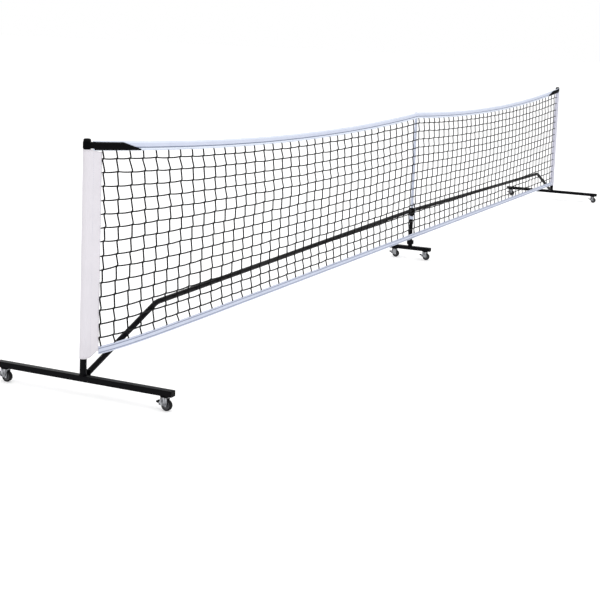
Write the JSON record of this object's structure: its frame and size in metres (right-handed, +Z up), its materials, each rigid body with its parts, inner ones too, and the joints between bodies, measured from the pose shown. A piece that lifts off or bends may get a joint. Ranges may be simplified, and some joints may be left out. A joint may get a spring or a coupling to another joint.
{
  "type": "portable net",
  "caption": "Portable court net on a tubular frame with wheeled base bars, braked swivel casters, slip-over posts, low rails and a banded mesh net held by side sleeves.",
  "frame": {"origin": "on the floor, midway between the two end posts, under the net", "axes": "+X along the net, +Y across it along the base bars, +Z up"},
  "size_m": [6.736, 0.7456, 0.92],
  "materials": {
    "black_steel": "satin black powder coat",
    "black_plastic": "matte moulded",
    "zinc": "zinc plated",
    "dark_rubber": "matte",
    "white_band": "coated woven tape, stitched",
    "sleeve_cloth": "plain woven cloth",
    "black_webbing": "woven webbing",
    "netting": "knotted polyethylene cord",
    "fibreglass": "smooth rod"
  },
  "bodies": {
    "frame": {"left_base": "black_steel", "right_base": "black_steel", "centre_base": "black_steel", "left_post": "black_steel", "right_post": "black_steel", "centre_post": "black_steel", "left_post_cap": "black_plastic", "right_post_cap": "black_plastic", "centre_tee": "black_plastic", "centre_rod": "fibreglass", "left_brace_tube": "black_steel", "right_brace_tube": "black_steel", "left_outer_rail": "black_steel", "right_outer_rail": "black_steel", "left_inner_rail": "black_steel", "right_inner_rail": "black_steel", "net_panel": "netting", "top_band": "white_band", "bottom_band": "white_band", "left_sleeve": "sleeve_cloth", "right_sleeve": "sleeve_cloth", "centre_sleeve": "white_band", "left_corner_tab": "black_webbing", "right_corner_tab": "black_webbing", "left_near_plug": "black_plastic", "left_far_plug": "black_plastic", "centre_near_plug": "black_plastic", "centre_far_plug": "black_plastic", "right_near_plug": "black_plastic", "right_far_plug": "black_plastic", "left_near_caster_mount": "black_plastic", "left_far_caster_mount": "black_plastic", "centre_near_caster_mount": "black_plastic", "centre_far_caster_mount": "black_plastic", "right_near_caster_mount": "black_plastic", "right_far_caster_mount": "black_plastic"},
    "left_near_caster_swivel": {"left_near_caster_fork": "zinc", "left_near_caster_axle": "zinc"},
    "left_near_caster_wheel": {"left_near_caster_wheel": "dark_rubber"},
    "left_near_caster_pedal": {"left_near_caster_pedal": "black_plastic"},
    "left_far_caster_swivel": {"left_far_caster_fork": "zinc", "left_far_caster_axle": "zinc"},
    "left_far_caster_wheel": {"left_far_caster_wheel": "dark_rubber"},
    "left_far_caster_pedal": {"left_far_caster_pedal": "black_plastic"},
    "centre_near_caster_swivel": {"centre_near_caster_fork": "zinc", "centre_near_caster_axle": "zinc"},
    "centre_near_caster_wheel": {"centre_near_caster_wheel": "dark_rubber"},
    "centre_near_caster_pedal": {"centre_near_caster_pedal": "black_plastic"},
    "centre_far_caster_swivel": {"centre_far_caster_fork": "zinc", "centre_far_caster_axle": "zinc"},
    "centre_far_caster_wheel": {"centre_far_caster_wheel": "dark_rubber"},
    "centre_far_caster_pedal": {"centre_far_caster_pedal": "black_plastic"},
    "right_near_caster_swivel": {"right_near_caster_fork": "zinc", "right_near_caster_axle": "zinc"},
    "right_near_caster_wheel": {"right_near_caster_wheel": "dark_rubber"},
    "right_near_caster_pedal": {"right_near_caster_pedal": "black_plastic"},
    "right_far_caster_swivel": {"right_far_caster_fork": "zinc", "right_far_caster_axle": "zinc"},
    "right_far_caster_wheel": {"right_far_caster_wheel": "dark_rubber"},
    "right_far_caster_pedal": {"right_far_caster_pedal": "black_plastic"}
  },
  "joints": [
    {"name": "left_near_caster_swivel", "type": "hinge", "parent": "frame", "child": "left_near_caster_swivel", "pos_m": [-3.35, -0.34, 0.046], "axis": [0, 0, 1], "continuous": true},
    {"name": "left_near_caster_roll", "type": "hinge", "parent": "left_near_caster_swivel", "child": "left_near_caster_wheel", "pos_m": [-3.35, -0.348, 0.02], "axis": [1, 0, 0], "continuous": true},
    {"name": "left_near_caster_brake", "type": "hinge", "parent": "left_near_caster_swivel", "child": "left_near_caster_pedal", "pos_m": [-3.35, -0.325, 0.0235], "axis": [1, 0, 0], "range_deg": [-45, 0]},
    {"name": "left_far_caster_swivel", "type": "hinge", "parent": "frame", "child": "left_far_caster_swivel", "pos_m": [-3.35, 0.34, 0.046], "axis": [0, 0, 1], "continuous": true},
    {"name": "left_far_caster_roll", "type": "hinge", "parent": "left_far_caster_swivel", "child": "left_far_caster_wheel", "pos_m": [-3.35, 0.332, 0.02], "axis": [1, 0, 0], "continuous": true},
    {"name": "left_far_caster_brake", "type": "hinge", "parent": "left_far_caster_swivel", "child": "left_far_caster_pedal", "pos_m": [-3.35, 0.355, 0.0235], "axis": [1, 0, 0], "range_deg": [-45, 0]},
    {"name": "centre_near_caster_swivel", "type": "hinge", "parent": "frame", "child": "centre_near_caster_swivel", "pos_m": [0, -0.095, 0.046], "axis": [0, 0, 1], "continuous": true},
    {"name": "centre_near_caster_roll", "type": "hinge", "parent": "centre_near_caster_swivel", "child": "centre_near_caster_wheel", "pos_m": [0, -0.103, 0.02], "axis": [1, 0, 0], "continuous": true},
    {"name": "centre_near_caster_brake", "type": "hinge", "parent": "centre_near_caster_swivel", "child": "centre_near_caster_pedal", "pos_m": [0, -0.08, 0.0235], "axis": [1, 0, 0], "range_deg": [-45, 0]},
    {"name": "centre_far_caster_swivel", "type": "hinge", "parent": "frame", "child": "centre_far_caster_swivel", "pos_m": [0, 0.095, 0.046], "axis": [0, 0, 1], "continuous": true},
    {"name": "centre_far_caster_roll", "type": "hinge", "parent": "centre_far_caster_swivel", "child": "centre_far_caster_wheel", "pos_m": [0, 0.087, 0.02], "axis": [1, 0, 0], "continuous": true},
    {"name": "centre_far_caster_brake", "type": "hinge", "parent": "centre_far_caster_swivel", "child": "centre_far_caster_pedal", "pos_m": [0, 0.11, 0.0235], "axis": [1, 0, 0], "range_deg": [-45, 0]},
    {"name": "right_near_caster_swivel", "type": "hinge", "parent": "frame", "child": "right_near_caster_swivel", "pos_m": [3.35, -0.34, 0.046], "axis": [0, 0, 1], "continuous": true},
    {"name": "right_near_caster_roll", "type": "hinge", "parent": "right_near_caster_swivel", "child": "right_near_caster_wheel", "pos_m": [3.35, -0.348, 0.02], "axis": [1, 0, 0], "continuous": true},
    {"name": "right_near_caster_brake", "type": "hinge", "parent": "right_near_caster_swivel", "child": "right_near_caster_pedal", "pos_m": [3.35, -0.325, 0.0235], "axis": [1, 0, 0], "range_deg": [-45, 0]},
    {"name": "right_far_caster_swivel", "type": "hinge", "parent": "frame", "child": "right_far_caster_swivel", "pos_m": [3.35, 0.34, 0.046], "axis": [0, 0, 1], "continuous": true},
    {"name": "right_far_caster_roll", "type": "hinge", "parent": "right_far_caster_swivel", "child": "right_far_caster_wheel", "pos_m": [3.35, 0.332, 0.02], "axis": [1, 0, 0], "continuous": true},
    {"name": "right_far_caster_brake", "type": "hinge", "parent": "right_far_caster_swivel", "child": "right_far_caster_pedal", "pos_m": [3.35, 0.355, 0.0235], "axis": [1, 0, 0], "range_deg": [-45, 0]}
  ]
}
